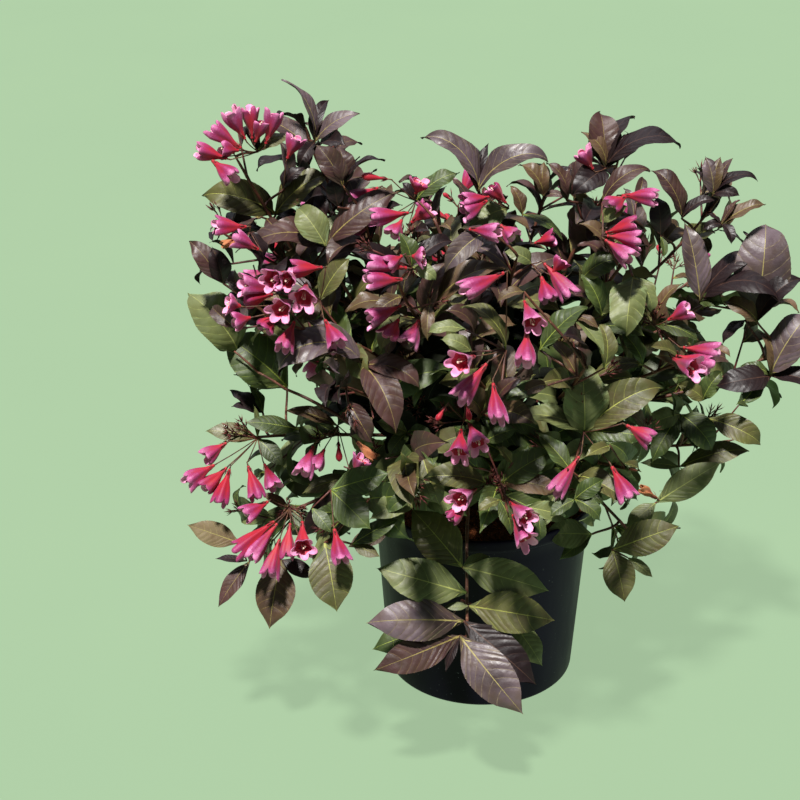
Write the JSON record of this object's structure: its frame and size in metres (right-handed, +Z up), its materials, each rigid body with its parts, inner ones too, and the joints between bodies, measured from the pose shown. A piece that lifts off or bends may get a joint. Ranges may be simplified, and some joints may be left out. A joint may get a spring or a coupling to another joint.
{
  "type": "potted weigela shrub",
  "caption": "Weigela shrub in flower: dark leafy shoots with pink trumpet flowers on branching boughs, standing in a round black nursery pot.",
  "frame": {"origin": "centre of the pot's flat underside", "axes": "+Z up, -Y to the front where one shoot hangs over the pot, +X to the right seen from the front"},
  "size_m": [0.6683, 0.5678, 0.6348],
  "materials": {
    "pot": "black injection-moulded plastic with a faint gloss",
    "compost": "moist brown coir and peat compost",
    "bark": "thin reddish-brown bark",
    "foliage": "olive green leaves flushed with bronze, satin",
    "foliage_young": "dark purple-brown young leaves, satin",
    "blossom": "pink petals, paler inside, soft and matt"
  },
  "bodies": {
    "root": {"bough_back": "bark", "bough_back_left": "bark", "bough_back_right": "bark", "bough_front": "bark", "bough_front_left": "bark", "bough_front_right": "bark", "bough_left_low": "bark", "bough_left_mid": "bark", "bough_left_top": "bark", "bough_mid_top_left": "bark", "bough_right": "bark", "bough_right_low": "bark", "bough_right_top": "bark", "bough_top": "bark", "compost": "compost", "crown": "bark", "pot": "pot", "shoots_back_crest": "foliage_young", "shoots_back_face": "foliage", "shoots_back_left_crest": "foliage_young", "shoots_back_left_shelf": "foliage", "shoots_back_left_skirt": "foliage", "shoots_back_right_crest": "foliage_young", "shoots_back_right_shelf": "foliage", "shoots_back_right_skirt": "foliage", "shoots_back_skirt": "foliage", "shoots_front_bells": "foliage", "shoots_front_face": "foliage", "shoots_front_hanger": "foliage", "shoots_front_left_apron": "foliage", "shoots_front_left_fan": "foliage", "shoots_front_right_face": "foliage", "shoots_front_right_inner": "foliage", "shoots_front_right_lap": "foliage", "shoots_left_low_bells": "foliage", "shoots_left_low_reach": "foliage", "shoots_left_low_skirt": "foliage", "shoots_left_mid_cluster": "foliage", "shoots_left_mid_outlook": "foliage", "shoots_left_mid_veil": "foliage", "shoots_left_top_bloom": "foliage_young", "shoots_left_top_rosette": "foliage_young", "shoots_left_top_shelf": "foliage", "shoots_mid_top_left_breast": "foliage", "shoots_mid_top_left_crest": "foliage_young", "shoots_mid_top_left_plume": "foliage_young", "shoots_right_bells": "foliage", "shoots_right_low_cheek": "foliage", "shoots_right_low_skirt": "foliage", "shoots_right_low_wing": "foliage", "shoots_right_reach": "foliage", "shoots_right_shoulder": "foliage_young", "shoots_right_top_bloom": "foliage", "shoots_right_top_horn": "foliage_young", "shoots_right_top_rosette": "foliage_young", "shoots_top_brow": "foliage", "shoots_top_rosette": "foliage_young", "shoots_top_twin": "foliage_young"}
  },
  "joints": []
}
